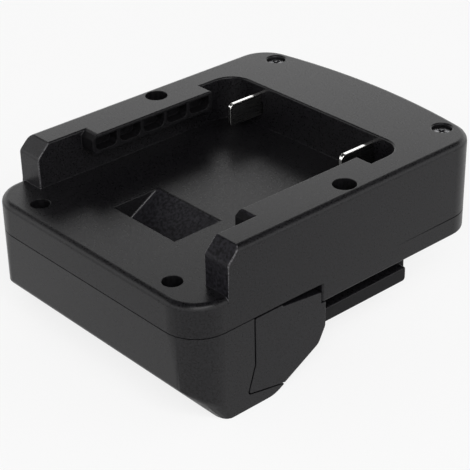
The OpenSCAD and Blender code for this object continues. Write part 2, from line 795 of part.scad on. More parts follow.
module lower_posts() {
    both_sides() {
        intersection() {
            for (p = case_posts) post(p[0], p[1], p[2], 0, p[3]);
            along_x(-body_w, body_w) polygon(lower_outline(top_h));
        }
        for (y = [board_screw_y, board_y + board_l - board_screw_inset])
            post(board_screw_x, y, boss_r, slide_floor_h - over, board_h);
    }
}

module contact_slot(x) {
    box([x - slot_w / 2, neck_end - slot_l, slide_low_h - over],
        [x + slot_w / 2, neck_end + over, slide_low_h + slide_lip_t + floor_t]);
}

module lower_housing() {
    color("#29292c") from_front() difference() {
        union() {
            difference() {
                lower_form();
                apron(plate_low_h - over, wall + post_clear);
                difference() {
                    lower_cavity();
                    both_sides() button_recess(pad_gap + wall, recess_wall_x);
                }
                both_sides() {
                    button_recess(pad_gap, recess_x);
                    skirt_step();
                }
            }
            lower_posts();
        }
        both_sides() {
            button_ways();
            post(front_screw_x, front_screw_y, small_shank_d / 2 + shank_clear,
                front_seat_h - corner_screw_l - pilot_past, front_seat_h);
            post(far_screw_x, far_screw_y, small_shank_d / 2 + shank_clear,
                far_seat_h - corner_screw_l - pilot_past, far_seat_h);
            post(rail_screw_x, rail_screw_y, rail_shank_d / 2 + shank_clear,
                rail_seat_h - rail_screw_l - pilot_past, ceiling_h + over);
            post(board_screw_x, board_screw_y, small_shank_d / 2 + shank_clear,
                board_top_h - small_screw_l - pilot_past, board_h + over);
            for (x = [power_slot_x, signal_slot_x]) contact_slot(x);
        }
    }
}

module release_button() {
    difference() {
        union() {
            along_x(pad_x, body_w / 2)
                polygon(rounded(pad_outline(pad_shoulder + pad_gap - shoulder_gap), pad_radii));
            along_x(skirt_x, pad_x + over) polygon(band(skirt_line, -skirt_t, 0, 0));
            box([arm_x, link_y, arm_h], [pad_x + over, link_y + link_l, arm_h + arm_d]);
            box([arm_x, link_y, arm_h], [arm_x + arm_t, tooth_start + tooth_l, arm_h + arm_d]);
            upright(arm_h, arm_h + arm_d) polygon([[arm_x + arm_t - over, tooth_start],
                [neck_w / 2 + tooth_out, tooth_start], [neck_w / 2 + tooth_out, tooth_start + tooth_flat],
                [arm_x + arm_t, tooth_start + tooth_l], [arm_x + arm_t - over, tooth_start + tooth_l]]);
        }
        stem_cylinder(spring_d / 2 + spring_wire / 2 + spring_clear, pad_x - over, spring_seat_x);
    }
    stem_cylinder(stem_d / 2, stem_end_x, spring_seat_x + spring_skin / 2);
}

// A cylinder on the guide stem's axis
module stem_cylinder(r, from, to) {
    translate([from, stem_y, stem_h]) rotate([0, 90, 0]) cylinder(r = r, h = to - from, $fn = 48);
}

module release_button_right() {
    color("#26262a") from_front() release_button();
}

module release_button_left() {
    color("#26262a") from_front() mirror([1, 0, 0]) release_button();
}

// A tube of round wire along a helix on the stem's axis, seated on the recess and on the pad
module button_spring() {
    rings = turn_rings * spring_turns;
    low = recess_x + spring_wire / 2;
    rise = spring_seat_x - spring_wire / 2 - low;
    ring_points = [for (i = [0 : rings]) let (a = 360 * spring_turns * i / rings)
        for (j = [0 : wire_sides - 1])
            let (b = 360 * j / wire_sides, r = (spring_d + spring_wire * cos(b)) / 2)
            [low + rise * i / rings + spring_wire / 2 * sin(b), stem_y + r * cos(a), stem_h + r * sin(a)]];
    skin = [for (i = [0 : rings - 1]) for (j = [0 : wire_sides - 1])
        let (k = (j + 1) % wire_sides, a = i * wire_sides, b = a + wire_sides)
            each [[a + j, a + k, b + k], [a + j, b + k, b + j]]];
    last = rings * wire_sides;
    ends = [for (j = [1 : wire_sides - 2]) each [[0, j + 1, j], [last, last + j, last + j + 1]]];
    echo(gap_between_turns = rise / spring_turns - spring_wire);
    polyhedron(ring_points, concat(skin, ends));
}

module button_spring_right() {
    color("silver") from_front() button_spring();
}

module button_spring_left() {
    color("silver") from_front() mirror([1, 0, 0]) button_spring();
}

// A flat blade that reaches out over the floor, with a tail through the far wall and a leg for its lead
module battery_blade() {
    leg_low_h = deck_h - leg_drop;
    along_x(blade_x - blade_t / 2, blade_x + blade_t / 2) union() {
        polygon(rounded([[blade_front, blade_low_h], [pocket_end, blade_low_h],
            [pocket_end, blade_top_h], [blade_front, blade_top_h]], [blade_toe_r, 0, 0, blade_r]));
        polygon([[pocket_end - over, tail_low_h], [leg_y, tail_low_h], [leg_y, leg_low_h],
            [leg_y + leg_l, leg_low_h], [leg_y + leg_l, tail_top_h], [pocket_end - over, tail_top_h]]);
    }
}

module battery_blade_positive() {
    color("gainsboro") from_front() mirror([1, 0, 0]) battery_blade();
}

module battery_blade_negative() {
    color("gainsboro") from_front() battery_blade();
}

module blade_block() {
    half = blade_t / 2 + blade_clear;
    ear_end = ear_x + boss_r;
    color("#3a3a3c") from_front() difference() {
        union() {
            box([-block_half_w, block_y, block_low_h], [block_half_w, block_y + block_l, block_top_h]);
            box([-ear_end, block_y, block_low_h], [ear_end, block_y + block_l, ear_top_h]);
        }
        both_sides() {
            box([blade_x - half, block_y - over, tail_low_h - blade_clear],
                [blade_x + half, block_y + block_l + over, tail_top_h + blade_clear]);
            post(ear_x, ear_y, small_shank_d / 2 + shank_clear, block_low_h - over, ear_top_h + over);
        }
    }
}

module blade_block_screws() {
    color("silver") from_front() both_sides()
        translate([ear_x, ear_y, block_low_h]) rotate([180, 0, 0])
            screw(small_head_d, small_shank_d, block_screw_l);
}

// A sprung clip bent from strip: two leaves that close on a blade and flare at the mouth
module tool_contact() {
    mouth = clip_gap / 2 + strip_t / 2;
    root = clip_w / 2 - strip_t / 2;
    line = [[0, 0], [root, 0], [root, clip_root_l], [mouth, clip_mouth_l],
        [clip_flare, clip_l - strip_t]];
    upright(clip_low_h, board_h) translate([power_slot_x, clip_y + strip_t / 2]) both_sides()
        for (i = [0 : len(line) - 2]) strip(line[i], line[i + 1]);
}

// A stretch of strip with round ends, so that stretches join at any bend
module strip(from, to) {
    run = to - from;
    translate(from) {
        circle(d = strip_t, $fn = 24);
        rotate(atan2(run.y, run.x)) translate([0, -strip_t / 2]) square([norm(run), strip_t]);
    }
    translate(to) circle(d = strip_t, $fn = 24);
}

module tool_contact_positive() {
    color("goldenrod") from_front() mirror([1, 0, 0]) tool_contact();
}

module tool_contact_negative() {
    color("goldenrod") from_front() tool_contact();
}

module circuit_board() {
    color("darkgreen") from_front() difference() {
        box([-board_w / 2, board_y, board_h], [board_w / 2, board_y + board_l, board_top_h]);
        both_sides() post(board_screw_x, board_screw_y, small_shank_d / 2 + shank_clear,
            board_h - over, board_top_h + over);
    }
}

// Two flat power packages, each with a moulded body on a metal tab
module cutoff_transistors() {
    tab_inset = (package_w - tab_w) / 2;
    color("#1c1c1c") from_front() both_sides()
        translate([part_gap / 2, board_y + board_l - part_gap - tab_l - package_l, board_top_h]) {
            cube([package_w, package_l, package_h]);
            translate([tab_inset, package_l, 0]) cube([package_w - 2 * tab_inset, tab_l, tab_t]);
        }
}

module control_chip() {
    color("#1c1c1c") from_front()
        translate([-part_gap - chip_w, board_y + part_gap, board_top_h]) cube([chip_w, chip_l, chip_h]);
}

// A can capacitor on its square foot
module board_capacitor() {
    color("silver") from_front()
        translate([part_gap + can_d / 2, board_y + part_gap + can_d / 2, board_top_h]) {
            translate([-can_d / 2, -can_d / 2, 0]) cube([can_d, can_d, can_foot_h]);
            cylinder(d = can_d, h = can_h, $fn = 48);
        }
}

module board_screws() {
    color("silver") from_front() both_sides()
        translate([board_screw_x, board_screw_y, board_top_h])
            screw(small_head_d, small_shank_d, small_screw_l);
}

// A lead that drops from a blade's leg, runs level and turns down on to the board
module lead() {
    start_h = deck_h - leg_drop;
    turn_h = lead_h + lead_bend;
    level_from = lead_y - lead_bend;
    level_to = lead_end_y + lead_drop;
    translate([blade_x, 0, 0]) {
        translate([0, lead_y, turn_h]) cylinder(d = lead_d, h = start_h - turn_h, $fn = 32);
        translate([0, level_from, turn_h]) bend(lead_bend, -90);
        translate([0, level_to, lead_h]) rotate([-90, 0, 0])
            cylinder(d = lead_d, h = level_from - level_to, $fn = 32);
        translate([0, level_to, lead_h - lead_drop]) bend(lead_drop, 90);
    }
}

// A quarter of a round ring in the plane of Y and Z
module bend(r, from) {
    rotate([90, 0, 90]) rotate(from) rotate_extrude(angle = 90, $fn = 48)
        translate([r, 0]) circle(d = lead_d, $fn = 32);
}

module lead_positive() {
    color("firebrick") from_front() mirror([1, 0, 0]) lead();
}

module lead_negative() {
    color("#1a1a1a") from_front() lead();
}

module corner_screws() {
    color("silver") from_front() both_sides() {
        translate([front_screw_x, front_screw_y, front_seat_h])
            screw(corner_head_d, small_shank_d, corner_screw_l);
        translate([far_screw_x, far_screw_y, far_seat_h])
            screw(corner_head_d, small_shank_d, corner_screw_l);
    }
}

module rail_screws() {
    color("silver") from_front() both_sides()
        translate([rail_screw_x, rail_screw_y, rail_seat_h])
            screw(rail_head_d, rail_shank_d, rail_screw_l);
}

top_housing();
lower_housing();
release_button_left();
release_button_right();
button_spring_left();
button_spring_right();
battery_blade_positive();
battery_blade_negative();
blade_block();
blade_block_screws();
tool_contact_positive();
tool_contact_negative();
circuit_board();
cutoff_transistors();
control_chip();
board_capacitor();
board_screws();
lead_positive();
lead_negative();
corner_screws();
rail_screws();
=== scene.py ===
"""Looks of the tool battery adapter: moulded shells with soft edges, bright blades and a white studio."""
import itertools
import json
import math

import bmesh
import bpy
from mathutils import Matrix, Vector
from mathutils.bvhtree import BVHTree
from mathutils.geometry import delaunay_2d_cdt, intersect_point_line


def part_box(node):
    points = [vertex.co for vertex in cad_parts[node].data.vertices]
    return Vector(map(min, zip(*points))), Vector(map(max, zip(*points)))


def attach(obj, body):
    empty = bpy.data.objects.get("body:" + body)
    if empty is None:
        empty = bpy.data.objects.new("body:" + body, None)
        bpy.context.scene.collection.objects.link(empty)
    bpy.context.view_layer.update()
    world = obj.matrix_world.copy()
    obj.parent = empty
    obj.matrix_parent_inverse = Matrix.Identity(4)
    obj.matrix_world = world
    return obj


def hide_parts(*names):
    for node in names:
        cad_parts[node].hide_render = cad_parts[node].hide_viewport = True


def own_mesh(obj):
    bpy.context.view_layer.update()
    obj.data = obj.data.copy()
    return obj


MM = 0.001

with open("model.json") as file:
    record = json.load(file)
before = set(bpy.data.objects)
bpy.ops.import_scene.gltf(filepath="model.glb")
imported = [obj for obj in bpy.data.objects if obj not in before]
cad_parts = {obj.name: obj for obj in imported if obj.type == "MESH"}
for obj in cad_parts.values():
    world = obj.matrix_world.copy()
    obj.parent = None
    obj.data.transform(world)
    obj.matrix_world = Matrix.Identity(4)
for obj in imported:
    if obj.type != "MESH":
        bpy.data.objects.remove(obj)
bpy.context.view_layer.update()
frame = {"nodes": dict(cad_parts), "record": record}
nodes = frame["nodes"]
scene = bpy.context.scene
scene.view_settings.view_transform = "Standard"


# Camera at the photograph's angle

def add_camera():
    azimuth, elevation, roll = (math.radians(a) for a in (48.667, 29.652, -1.179))
    place = (0.24645, -0.21835, 0.20415)
    focal_px, frame_px, sensor_mm = 1533, 470, 36
    look = Vector((-math.sin(azimuth) * math.cos(elevation),
                   math.cos(azimuth) * math.cos(elevation), -math.sin(elevation)))
    right = Vector((math.cos(azimuth), math.sin(azimuth), 0))
    down = look.cross(right)
    c, s = math.cos(roll), math.sin(roll)
    right, down = c * right - s * down, s * right + c * down
    data = bpy.data.cameras.new("camera")
    data.sensor_fit = "HORIZONTAL"
    data.sensor_width = sensor_mm
    data.lens = sensor_mm * focal_px / frame_px
    data.clip_start, data.clip_end = 0.01, 20
    camera = bpy.data.objects.new("camera", data)
    axes = Matrix((right, -down, -look)).transposed().to_4x4()
    camera.matrix_world = Matrix.Translation(place) @ axes
    scene.collection.objects.link(camera)
    scene.camera = camera


# Materials

class Nodes:
    """A material's node tree, with short calls to add and join nodes."""

    def __init__(self, name):
        self.material = bpy.data.materials.new(name)
        self.material.use_nodes = True
        self.tree = self.material.node_tree
        self.shader = self.tree.nodes["Principled BSDF"]
        self.place = self.tree.nodes.new("ShaderNodeTexCoord").outputs["Object"]

    def add(self, kind, inputs=(), **values):
        node = self.tree.nodes.new(kind)
        for key, value in values.items():
            setattr(node, key, value)
        for key, value in dict(inputs).items():
            self.feed(node.inputs[key], value)
        return node

    def feed(self, socket, value):
        """Joins a socket to another, or sets its value."""
        if isinstance(value, bpy.types.NodeSocket):
            self.tree.links.new(value, socket)
        else:
            socket.default_value = value

    def noise(self, scale, detail=2.0, stretch=(1, 1, 1)):
        place = self.place
        if stretch != (1, 1, 1):
            place = self.add("ShaderNodeMapping", {"Vector": place, "Scale": stretch}).outputs["Vector"]
        node = self.add("ShaderNodeTexNoise", {"Vector": place, "Scale": scale, "Detail": detail})
        return node.outputs["Fac"]

    def spread(self, value, low, high, start=0.3, end=0.7):
        node = self.add("ShaderNodeMapRange", {"Value": value, "From Min": start, "From Max": end,
                                               "To Min": low, "To Max": high})
        return node.outputs["Result"]

    def tints(self, value, dark, light, start=0.3, end=0.7):
        node = self.add("ShaderNodeValToRGB", {"Fac": value})
        for stop, place, colour in zip(node.color_ramp.elements, (start, end), (dark, light)):
            stop.position = place
            stop.color = (*colour, 1)
        return node.outputs["Color"]

    def set(self, **sockets):
        for key, value in sockets.items():
            self.feed(self.shader.inputs[key.replace("_", " ")], value)

    def bump(self, height, strength, distance):
        node = self.add("ShaderNodeBump", {"Height": height, "Strength": strength, "Distance": distance})
        self.set(Normal=node.outputs["Normal"])


def scaled(colour, share):
    return [share * c for c in colour]


def moulded_plastic(name, colour, grain_mm=0.4, roughness=(0.25, 0.39), relief=0.25, gloss=0.235, speckle=0.5):
    """Black moulded plastic with a spark-eroded grain."""
    n = Nodes(name)
    grain = n.noise(1 / (grain_mm * MM), 3)
    colours = n.tints(grain, scaled(colour, 1 - speckle), scaled(colour, 1 + speckle), start=0.4, end=0.6)
    n.set(Base_Color=colours, Roughness=n.spread(grain, *roughness), Specular_IOR_Level=gloss)
    n.bump(grain, relief, 0.04 * MM)
    return n.material


def plain_plastic(name, colour, roughness=0.45):
    n = Nodes(name)
    clouds = n.noise(180, 3)
    n.set(Base_Color=n.tints(clouds, scaled(colour, 0.85), scaled(colour, 1.15)),
          Roughness=n.spread(clouds, roughness - 0.06, roughness + 0.06))
    n.bump(n.noise(2400, 2), 0.1, 0.04 * MM)
    return n.material


def metal(name, colour, roughness, stretch, fineness=900):
    """Rolled or drawn metal: streaks along one way, in tint, roughness and relief."""
    n = Nodes(name)
    streaks = n.noise(fineness, 4, stretch)
    n.set(Base_Color=n.tints(streaks, scaled(colour, 0.86), colour), Metallic=1.0,
          Roughness=n.spread(streaks, roughness * 0.75, roughness * 1.25))
    n.bump(streaks, 0.08, 0.03 * MM)
    return n.material


def board_mask(name):
    """Solder mask with copper tracks that show faintly through it."""
    n = Nodes(name)
    tracks = n.add("ShaderNodeTexBrick", {
        "Vector": n.place, "Scale": 160.0, "Mortar Size": 0.03, "Mortar": (0.02, 0.19, 0.075, 1),
        "Color1": (0.010, 0.105, 0.035, 1), "Color2": (0.012, 0.125, 0.042, 1)})
    n.set(Base_Color=tracks.outputs["Color"], Roughness=n.spread(n.noise(400), 0.22, 0.34))
    n.bump(tracks.outputs["Fac"], 0.15, 0.05 * MM)
    return n.material


MATERIALS = {
    "housing": moulded_plastic("upper shell plastic", (0.0060, 0.0057, 0.0066)),
    "coarse": moulded_plastic("coarse grained plastic", (0.0090, 0.0086, 0.0099),
                              roughness=(0.25, 0.5), relief=0.4, speckle=0.55),
    # painted shade: a much less glossy tone on the right rail's front end, darker overall, for the shade it is
    # in
    "shaded_rail_front": moulded_plastic("dull grained plastic", (0.0085, 0.0081, 0.0100), grain_mm=0.7,
                            roughness=(0.3, 0.45), relief=0.4, gloss=0.09, speckle=0.55),
    # painted light: a lighter, glossier, bluish tone on the latch ramp, for the light it catches
    "ramp": moulded_plastic("latch ramp plastic", (0.0125, 0.0120, 0.0145), grain_mm=0.7,
                            roughness=(0.3, 0.45), relief=0.4, gloss=0.25),
    # painted highlight: a much lighter tone on the bevels of the rail ends and the ramp's edges, standing in
    # for the light lines those rounded edges catch
    "painted_highlight": moulded_plastic("rubbed edge", (0.050, 0.049, 0.052), grain_mm=0.3, roughness=(0.2, 0.3)),
    # painted shade: a darker, less glossy tone on the walls of the lip cells, the screw holes and the tool
    # slide's neck, for the shade in those recesses
    "cored": moulded_plastic("cored cell plastic", (0.0040, 0.0038, 0.0044), grain_mm=0.5,
                             roughness=(0.5, 0.7), relief=0.5, gloss=0.08),
    # painted shade: a darker, less glossy tone on the lip faces and on the tool slide's sides, for the shade
    # that falls on them
    "lip": moulded_plastic("lip face plastic", (0.0050, 0.0048, 0.0055), roughness=(0.4, 0.6), gloss=0.12),
    "lower": moulded_plastic("lower shell plastic", (0.0060, 0.0057, 0.0066), gloss=0.262),
    "button": moulded_plastic("button plastic", (0.0056, 0.0053, 0.0064), grain_mm=0.3, gloss=0.253),
    "spring": metal("spring wire", (0.62, 0.62, 0.63), 0.3, (1, 1, 1)),
    "blade": metal("nickel plated blade", (0.86, 0.85, 0.83), 0.12, (1, 0.08, 1)),
    # painted reflection: the blades' flat sides are made dark to stand for the dark surroundings they reflect
    "painted_dark_reflection": metal("rolled blade face", (0.20, 0.20, 0.20), 0.3, (1, 0.05, 1), 4000),
    "insulator": plain_plastic("insulator plastic", (0.055, 0.055, 0.06)),
    "contact": metal("brass strip", (0.80, 0.60, 0.27), 0.28, (1, 1, 0.1)),
    "board": board_mask("board solder mask"),
    "package": plain_plastic("package moulding", (0.018, 0.018, 0.019), 0.5),
    "can": metal("capacitor can", (0.74, 0.74, 0.76), 0.3, (1, 1, 0.1)),
    "lead_red": plain_plastic("red lead sheath", (0.42, 0.02, 0.02), 0.4),
    "lead_black": plain_plastic("black lead sheath", (0.018, 0.018, 0.018), 0.4),
    "screw": metal("blackened screw", (0.30, 0.30, 0.31), 0.32, (1, 1, 1)),
}


def dress(piece, slot):
    piece.data.materials.clear()
    piece.data.materials.append(MATERIALS[slot])
    return piece


# Places on the part, as spans of x, y and z in millimetres. The spans of x also stand for the left side.

FAR = math.inf
ALL = (-FAR, FAR)


def span(x=ALL, y=ALL, z=ALL):
    return x, y, z


def within(point, place):
    spots = (abs(point.x), point.y, point.z)
    return all(low < c / MM < high for c, (low, high) in zip(spots, place))


def edge_within(edge, place):
    return all(within(v.co, place) for v in edge.verts)


SEAM_H = 23.2 * MM
LIP_CELLS = span(x=(25.5, 29), z=(37.5, 42.5))
BEHIND_LIP_FACE = span(x=(25.85, FAR))
RAIL_ENDS = span(y=(-37.2, -33.6), z=(29.5, FAR))
RAMP_CORNERS = span(x=(11, 11.4), y=(-28, -15), z=(-FAR, 31.6))  # between latch ramp and pocket sides
RAMP_EDGES = span(x=(11, 11.4), y=(-28, -15), z=(-FAR, 30.9))
RAILS_AND_RAMP = span(y=(-37.3, -16))
RAILS = span(x=(20, FAR))
BELOW_DECK = span(z=(-FAR, 31.4))
UNDER_PADS = span(x=(32, FAR), y=(-32, -18), z=(-FAR, 6))  # between a button's lower edge and the bumper
TOOL_SLIDE = span(y=(-9, FAR))
NECK_SIDES = span(x=(30.5, 31.5))
TUCKED_AWAY = (
    span(x=(26, 33.5), y=(36.5, 43), z=(20, 41)),  # inside the far screw holes
    span(x=(24, 34.3), y=(-31, -6.5), z=(-FAR, 23)),  # inside the button bays
    span(x=(24, 36), y=(-10, -6.5), z=(-FAR, 23)),  # behind the pads' shoulders
    span(x=(29, 31.5), y=(-9, 30), z=(-FAR, 20)),  # in the neck of the tool slide
    span(x=(12, 34.5), y=(-40, 44), z=(24.5, 29.6)),  # under the receptacle's floor
    span(x=(-FAR, 37), y=(-6, 44), z=(20.2, 20.6)),  # on the base plate
    span(z=(-FAR, 2)),  # at the bumper's foot
)
SCREW_HOLES = ((24.4 * MM, -41.4 * MM), (33.4 * MM, 2.2 * MM))  # middles of the front and rail screw holes
SCREW_HOLE_R = 3 * MM


def in_screw_hole(point):
    return any(math.hypot(abs(point.x) - x, point.y - y) < SCREW_HOLE_R for x, y in SCREW_HOLES)


def on_seam(point, tolerance=0.01 * MM):
    return abs(point.z - SEAM_H) < tolerance


# Pieces

BODY_OF = {node: body for body, members in frame["record"]["behaviour"]["bodies"].items() for node in members}
SLOT_OF = {part["node"]: part["material_slot"] for part in frame["record"]["subparts"]}
SHELLS = ("top_housing", "lower_housing", "release_button_left", "release_button_right")
FINISHES = {  # besides a node's own
    "top_housing": ("coarse", "shaded_rail_front", "ramp", "painted_highlight", "cored", "lip"), "lower_housing": ("cored", "lip"),
    "battery_blade_positive": ("painted_dark_reflection",), "battery_blade_negative": ("painted_dark_reflection",),
}
EDGE_WIDTHS = {  # how far a node's edges are broken, in millimetres
    "top_housing": 0.5, "lower_housing": 0.5, "release_button_left": 0.4, "release_button_right": 0.4,
    "battery_blade_positive": 0.12, "battery_blade_negative": 0.12, "blade_block": 0.3,
    "tool_contact_positive": 0.08, "tool_contact_negative": 0.08, "circuit_board": 0.1,
    "cutoff_transistors": 0.15, "control_chip": 0.15, "corner_screws": 0.15, "rail_screws": 0.15,
    "board_screws": 0.12, "blade_block_screws": 0.12,
}
WIDEST = max(EDGE_WIDTHS.values())
INNER_WIDTH, RAMP_WIDTH, RAIL_END_WIDTH, FINE_WIDTH = 0.15, 0.4, 0.3, 0.12
BLUNTEST = math.radians(30)  # an edge that turns by less is not broken
SHORTEST = 0.05 * MM  # nor is a shorter one
TURN = math.radians(40)  # faces that turn by less than this shade as one
LIFT = 0.1 * MM  # how far off a face a ray starts
MERGE = 0.002 * MM  # points closer than this are one
SLIT = 0.001 * MM  # the same for points along a slit


def stand_in(node, name, mesh, body):
    """A piece that shows in a node's place."""
    piece = bpy.data.objects.new(name, mesh)
    scene.collection.objects.link(piece)
    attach(piece, body)
    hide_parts(node)
    return dress(piece, SLOT_OF[node])


def case_tree():
    """The four mouldings at rest, as one tree for rays."""
    points, faces = [], []
    for node in SHELLS:
        mesh = nodes[node].data
        start = len(points)
        points += [v.co.copy() for v in mesh.vertices]
        faces += [[start + i for i in p.vertices] for p in mesh.polygons]
    return BVHTree.FromPolygons(points, faces)


CASE = case_tree()
WAYS = [Vector(d).normalized() for d in itertools.product((-1, 0, 1), repeat=3) if any(d)]


def is_upright(face):
    return abs(face.normal.z) < 0.1


def is_sideways(face):
    return abs(face.normal.x) > 0.9


def is_slanted(face):
    """Whether a face is part of an edge broken between a side and another face."""
    return 0.2 < abs(face.normal.x) < 0.98


def looks_forward(face):
    return face.normal.y < -0.3


def is_tucked_away(point):
    return any(within(point, place) for place in TUCKED_AWAY)


def seen_from_outside(edge):
    if all(is_tucked_away(v.co) for v in edge.verts):
        return False
    middle = (edge.verts[0].co + edge.verts[1].co) / 2
    start = middle + sum((f.normal for f in edge.link_faces), Vector()).normalized() * LIFT
    return any(CASE.ray_cast(start, way)[0] is None for way in WAYS)


def finish_of(node, face):
    """A face's finish: the node's own, or one of those that only some of its faces have, several of which are
    painted shade or painted highlights.
    """
    middle = face.calc_center_median()
    if node == "top_housing":
        # Painted shade: darkest in the cells behind the lip face, and darker on the lip face itself
        if within(middle, LIP_CELLS):
            return "cored" if within(middle, BEHIND_LIP_FACE) else "lip"
        # Bevels at the rail ends and along the ramp's edges get the painted highlight
        if is_slanted(face) and (within(middle, RAIL_ENDS) or within(middle, RAMP_EDGES)):
            return "painted_highlight"
        # Painted shade on the walls inside the screw holes
        if in_screw_hole(middle) and is_upright(face):
            return "cored"
        if looks_forward(face) and within(middle, RAILS_AND_RAMP):
            # Painted shade on the right rail's front end
            if within(middle, RAILS) and middle.x > 0:
                return "shaded_rail_front"
            # The latch ramp, below the deck, gets the painted light tone
            return "ramp" if within(middle, BELOW_DECK) else "coarse"
    # Painted shade on the tool slide's sides, darkest on its neck
    if node == "lower_housing" and is_sideways(face) and within(middle, TOOL_SLIDE):
        return "cored" if within(middle, NECK_SIDES) else "lip"
    # Painted dark reflection on the blades' flat sides
    if node.startswith("battery_blade") and is_sideways(face):
        return "painted_dark_reflection"
    return SLOT_OF[node]


def edge_width(node, edge):
    """Inner corners, rail ends and small features are broken less than the outer edges, and hidden edges and
    the seam not at all."""
    if not edge.is_manifold or edge.calc_face_angle(0) < BLUNTEST or edge.calc_length() < SHORTEST:
        return 0
    if node in SHELLS and not seen_from_outside(edge):
        return 0
    if edge_within(edge, RAMP_CORNERS) and not edge.is_convex:
        return RAMP_WIDTH
    if any(within(v.co, LIP_CELLS) for v in edge.verts) or not edge.is_convex:
        return min(EDGE_WIDTHS[node], INNER_WIDTH)
    if edge_within(edge, RAIL_ENDS):
        return RAIL_END_WIDTH
    if all(in_screw_hole(v.co) for v in edge.verts) or edge_within(edge, UNDER_PADS):
        return FINE_WIDTH
    return 0 if all(on_seam(v.co) for v in edge.verts) else EDGE_WIDTHS[node]


def even_runs(bm, widths, straight=math.radians(150)):
    """Gives one width, the least, to all of a run of edges that turns gently."""
    waiting = list(bm.verts)
    while waiting:
        vertex = waiting.pop()
        broken = [edge for edge in vertex.link_edges if widths[edge] > 0]
        for first, second in itertools.combinations(broken, 2):
            one, other = (edge.other_vert(vertex).co - vertex.co for edge in (first, second))
            if one.angle(other) > straight and widths[first] != widths[second]:
                widths[first] = widths[second] = min(widths[first], widths[second])
                waiting += [*first.verts, *second.verts]


def fans(vertex):
    """The groups of faces round a vertex that shade as one."""
    left = list(vertex.link_faces)
    while left:
        fan, reached = [], [left.pop()]
        while reached:
            face = reached.pop()
            fan.append(face)
            for edge in face.edges:
                if edge.smooth and vertex in edge.verts:
                    joined = [other for other in edge.link_faces if other in left]
                    left = [other for other in left if other not in joined]
                    reached += joined
        yield fan


def flat_groups(bm, same_way=0.9999, same_level=0.003 * MM):
    """Joined faces that lie in one plane, the largest first."""
    left = set(bm.faces)
    for seed in sorted(bm.faces, key=lambda face: -face.calc_area()):
        if seed not in left:
            continue
        left.remove(seed)
        group, reached = [], [seed]
        while reached:
            face = reached.pop()
            group.append(face)
            for other in [f for edge in face.edges for f in edge.link_faces]:
                level = (other.calc_center_median() - seed.verts[0].co).dot(seed.normal)
                if other in left and other.normal.dot(seed.normal) > same_way and abs(level) < same_level:
                    left.remove(other)
                    reached.append(other)
        yield group


def is_inside(spot, lines):
    """Whether an odd number of lines lies to one side of a spot."""
    odd = False
    for a, b in lines:
        if (a.y > spot.y) != (b.y > spot.y) and spot.x < a.x + (b.x - a.x) * (spot.y - a.y) / (b.y - a.y):
            odd = not odd
    return odd


def refill(bm, many=6, inside_only=1, tolerance=1e-5):
    """Flat faces with many corners filled anew inside their outlines, since a bevel can fold them. Each face
    keeps the area of the flat that it belongs to. A flat whose outline crosses itself stays as it is."""
    whole = bm.faces.layers.float.new("whole")
    for group in list(flat_groups(bm)):
        area = sum(face.calc_area() for face in group)
        for face in group:
            face[whole] = area
        if max(len(face.verts) for face in group) < many:
            continue
        normal = group[0].normal.copy()
        across = normal.orthogonal().normalized()
        along = normal.cross(across)
        inside = set(group)
        rim = [edge for face in group for edge in face.edges if sum(f in inside for f in edge.link_faces) == 1]
        corners = list(dict.fromkeys(v for edge in rim for v in edge.verts))
        place = {v: i for i, v in enumerate(corners)}
        points = [Vector((v.co.dot(across), v.co.dot(along))) / MM for v in corners]
        lines = [[place[v] for v in edge.verts] for edge in rim]
        spots, _, fill, origins, _, _ = delaunay_2d_cdt(points, lines, [], inside_only, tolerance)
        if any(len(origin) != 1 for origin in origins):
            continue
        sides = [[points[i] for i in line] for line in lines]
        bmesh.ops.delete(bm, geom=group, context="FACES_KEEP_BOUNDARY")
        for triangle in fill:
            if is_inside(sum((spots[i] for i in triangle), Vector((0, 0))) / 3, sides):
                face = bm.faces.new([corners[origins[i][0]] for i in triangle])
                face[whole] = area


def close_slits(bm):
    """Splits an open edge where a corner of the open edges opposite lies on it, and joins the two sides."""
    slits = [edge for edge in bm.edges if edge.is_boundary]
    corners = list(dict.fromkeys(v for edge in slits for v in edge.verts))
    for edge in slits:
        for corner in corners:
            near, share = intersect_point_line(corner.co, *(v.co for v in edge.verts))
            if corner not in edge.verts and 0 < share < 1 and (near - corner.co).length < SLIT:
                bmesh.utils.edge_split(edge, edge.verts[0], share)
                break
    bmesh.ops.remove_doubles(bm, verts=bm.verts, dist=SLIT)


def cut(bm, faces, place, normal):
    """Cuts faces along a plane."""
    parts = dict.fromkeys(part for face in faces for part in (face, *face.edges, *face.verts))
    bmesh.ops.bisect_plane(bm, geom=list(parts), dist=1e-8, plane_co=place, plane_no=normal)


